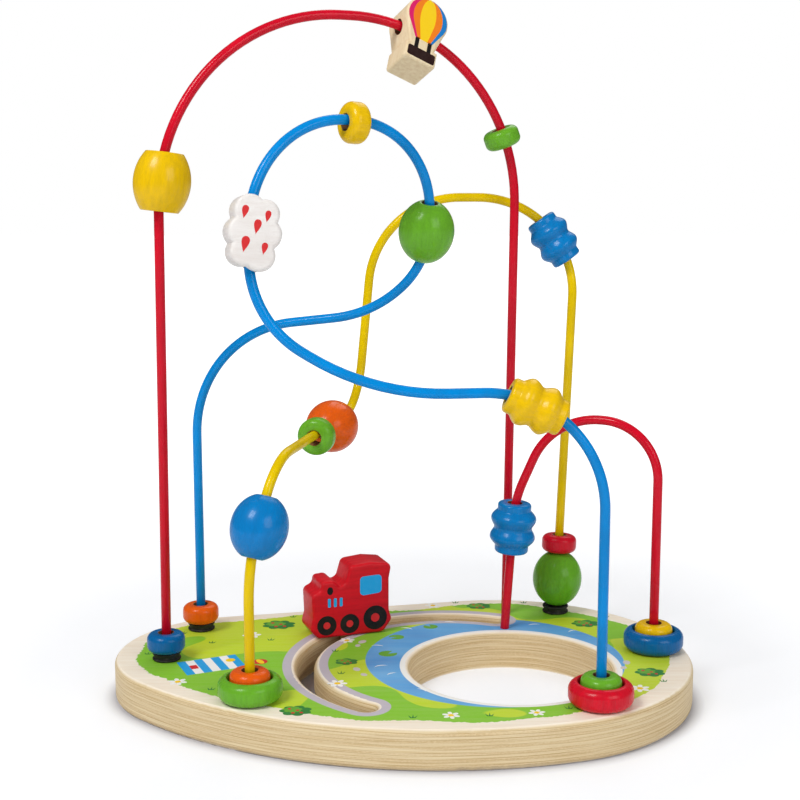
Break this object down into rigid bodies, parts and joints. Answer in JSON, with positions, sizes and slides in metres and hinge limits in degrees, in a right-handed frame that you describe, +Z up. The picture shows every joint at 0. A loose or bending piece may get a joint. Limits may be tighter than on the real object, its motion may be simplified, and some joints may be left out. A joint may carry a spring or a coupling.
{
  "type": "bead maze",
  "caption": "Wooden bead maze: an egg-shaped board with bent wires that carry sliding beads, and a small train that runs in a curved slot beside a round pond opening.",
  "frame": {"origin": "middle of the board's underside, on the surface it stands on", "axes": "+Z up, +X along the board towards its broad end, -Y towards the front"},
  "size_m": [0.27, 0.1784, 0.323],
  "materials": {
    "plywood": "clear lacquer",
    "enamel_red": "gloss",
    "enamel_blue": "gloss",
    "enamel_yellow": "gloss",
    "grommet_rubber": "matte",
    "bead_red": "gloss stain",
    "bead_blue": "gloss stain",
    "bead_green": "gloss stain",
    "bead_yellow": "gloss stain",
    "bead_orange": "gloss stain",
    "figure_wood": "printed face, clear lacquer",
    "figure_white": "white lacquer, printed face",
    "train_wood": "red lacquer, printed sides",
    "peg_wood": "plain",
    "washer_plastic": "matte",
    "screw_steel": "zinc plated"
  },
  "bodies": {
    "base": {"base_board": "plywood", "tall_wire": "enamel_red", "loop_wire": "enamel_blue", "wave_wire": "enamel_yellow", "small_wire": "enamel_red", "grommet_tall": "grommet_rubber", "grommet_loop_back": "grommet_rubber", "grommet_loop_front": "grommet_rubber", "grommet_wave_front": "grommet_rubber", "grommet_wave_back": "grommet_rubber", "grommet_small": "grommet_rubber"},
    "tall_foot_bead": {"tall_foot_bead": "bead_blue"},
    "tall_barrel": {"tall_barrel": "bead_yellow"},
    "tall_balloon": {"tall_balloon": "figure_wood"},
    "tall_disc": {"tall_disc": "bead_green"},
    "loop_foot_bead": {"loop_foot_bead": "bead_orange"},
    "loop_ball": {"loop_ball": "bead_green"},
    "loop_disc": {"loop_disc": "bead_yellow"},
    "loop_cloud": {"loop_cloud": "figure_white"},
    "loop_ribbed": {"loop_ribbed": "bead_yellow"},
    "loop_hub": {"loop_hub": "bead_green"},
    "loop_ring": {"loop_ring": "bead_red"},
    "wave_hub": {"wave_hub": "bead_orange"},
    "wave_ring": {"wave_ring": "bead_green"},
    "wave_front_ball": {"wave_front_ball": "bead_blue"},
    "wave_disc": {"wave_disc": "bead_green"},
    "wave_ball": {"wave_ball": "bead_orange"},
    "wave_ribbed": {"wave_ribbed": "bead_blue"},
    "wave_back_ball": {"wave_back_ball": "bead_green"},
    "wave_back_disc": {"wave_back_disc": "bead_red"},
    "small_ribbed": {"small_ribbed": "bead_blue"},
    "small_hub": {"small_hub": "bead_yellow"},
    "small_ring": {"small_ring": "bead_blue"},
    "train_slider": {"train_washer": "washer_plastic"},
    "train": {"train_body": "train_wood", "train_peg": "peg_wood", "train_screw": "screw_steel"}
  },
  "joints": [
    {"name": "tall_foot_bead_slide", "type": "slide", "parent": "base", "child": "tall_foot_bead", "axis": [0.0081, 0.0032, 1], "range_m": [0, 0.18]},
    {"name": "tall_barrel_travel", "type": "hinge", "parent": "base", "child": "tall_barrel", "pos_m": [-0.02896, 0.03016, 0.227], "axis": [-0.3888, 0.9213, 0.0002], "range_deg": [-3, 70]},
    {"name": "tall_balloon_travel", "type": "hinge", "parent": "base", "child": "tall_balloon", "pos_m": [-0.02407, 0.03242, 0.227], "axis": [-0.3888, 0.9213, 0.0023], "range_deg": [-13, 23]},
    {"name": "tall_disc_travel", "type": "hinge", "parent": "base", "child": "tall_disc", "pos_m": [-0.02407, 0.03242, 0.227], "axis": [-0.3888, 0.9213, 0.0023], "range_deg": [-8, 18]},
    {"name": "loop_foot_bead_slide", "type": "slide", "parent": "base", "child": "loop_foot_bead", "axis": [0, 0, 1], "range_m": [0, 0.084]},
    {"name": "loop_ball_travel", "type": "hinge", "parent": "base", "child": "loop_ball", "pos_m": [-0.03289, 0.00967, 0.2226], "axis": [-0.2181, -0.9401, -0.262], "range_deg": [-24, 1]},
    {"name": "loop_disc_travel", "type": "hinge", "parent": "base", "child": "loop_disc", "pos_m": [-0.02778, -0.02351, 0.21826], "axis": [0.5021, -0.8331, -0.2322], "range_deg": [-60, 4]},
    {"name": "loop_cloud_slide", "type": "slide", "parent": "base", "child": "loop_cloud", "axis": [-0.0246, -0.0738, -0.997], "range_m": [-0.002, 0.006]},
    {"name": "loop_ribbed_travel", "type": "hinge", "parent": "base", "child": "loop_ribbed", "pos_m": [0.034, -0.06152, 0.10195], "axis": [-0.0104, 0.9999, 0], "range_deg": [-11, 50]},
    {"name": "loop_hub_slide", "type": "slide", "parent": "base", "child": "loop_hub", "axis": [0, 0, 1], "range_m": [0, 0.06]},
    {"name": "loop_ring_slide", "type": "slide", "parent": "base", "child": "loop_ring", "axis": [0, 0, 1], "range_m": [0, 0.06]},
    {"name": "wave_hub_slide", "type": "slide", "parent": "base", "child": "wave_hub", "axis": [0, 0, 1], "range_m": [0, 0.024]},
    {"name": "wave_ring_slide", "type": "slide", "parent": "base", "child": "wave_ring", "axis": [0, 0, 1], "range_m": [0, 0.024]},
    {"name": "wave_front_ball_travel", "type": "hinge", "parent": "base", "child": "wave_front_ball", "pos_m": [-0.01074, 0.01642, 0.05981], "axis": [-0.7936, 0.6084, 0], "range_deg": [-14, 0]},
    {"name": "wave_disc_slide", "type": "slide", "parent": "base", "child": "wave_disc", "axis": [0.2623, 0.9644, 0.0338], "range_m": [-0.032, 0]},
    {"name": "wave_ball_slide", "type": "slide", "parent": "base", "child": "wave_ball", "axis": [0.2623, 0.9644, 0.0338], "range_m": [-0.004, 0.004]},
    {"name": "wave_ribbed_travel", "type": "hinge", "parent": "base", "child": "wave_ribbed", "pos_m": [0.03792, 0.07685, 0.18207], "axis": [0, 0.9985, -0.0552], "range_deg": [-38, 22]},
    {"name": "wave_back_ball_slide", "type": "slide", "parent": "base", "child": "wave_back_ball", "axis": [0.0424, 0.0552, 0.9976], "range_m": [0, 0.055]},
    {"name": "wave_back_disc_slide", "type": "slide", "parent": "wave_back_ball", "child": "wave_back_disc", "axis": [0.0424, 0.0552, 0.9976], "range_m": [0, 0.055]},
    {"name": "small_ribbed_slide", "type": "slide", "parent": "base", "child": "small_ribbed", "axis": [0.0623, -0.0312, 0.9976], "range_m": [-0.034, 0.002]},
    {"name": "small_hub_slide", "type": "slide", "parent": "base", "child": "small_hub", "axis": [0, 0, 1], "range_m": [0, 0.062]},
    {"name": "small_ring_slide", "type": "slide", "parent": "base", "child": "small_ring", "axis": [0, 0, 1], "range_m": [0, 0.062]},
    {"name": "train_along_slot", "type": "hinge", "parent": "base", "child": "train_slider", "pos_m": [0.022, -0.008, 0.007], "axis": [0, 0, 1], "range_deg": [-57, 97]},
    {"name": "train_swivel", "type": "hinge", "parent": "train_slider", "child": "train", "pos_m": [-0.02779, 0.03683, 0.018], "axis": [0, 0, 1], "continuous": true}
  ]
}
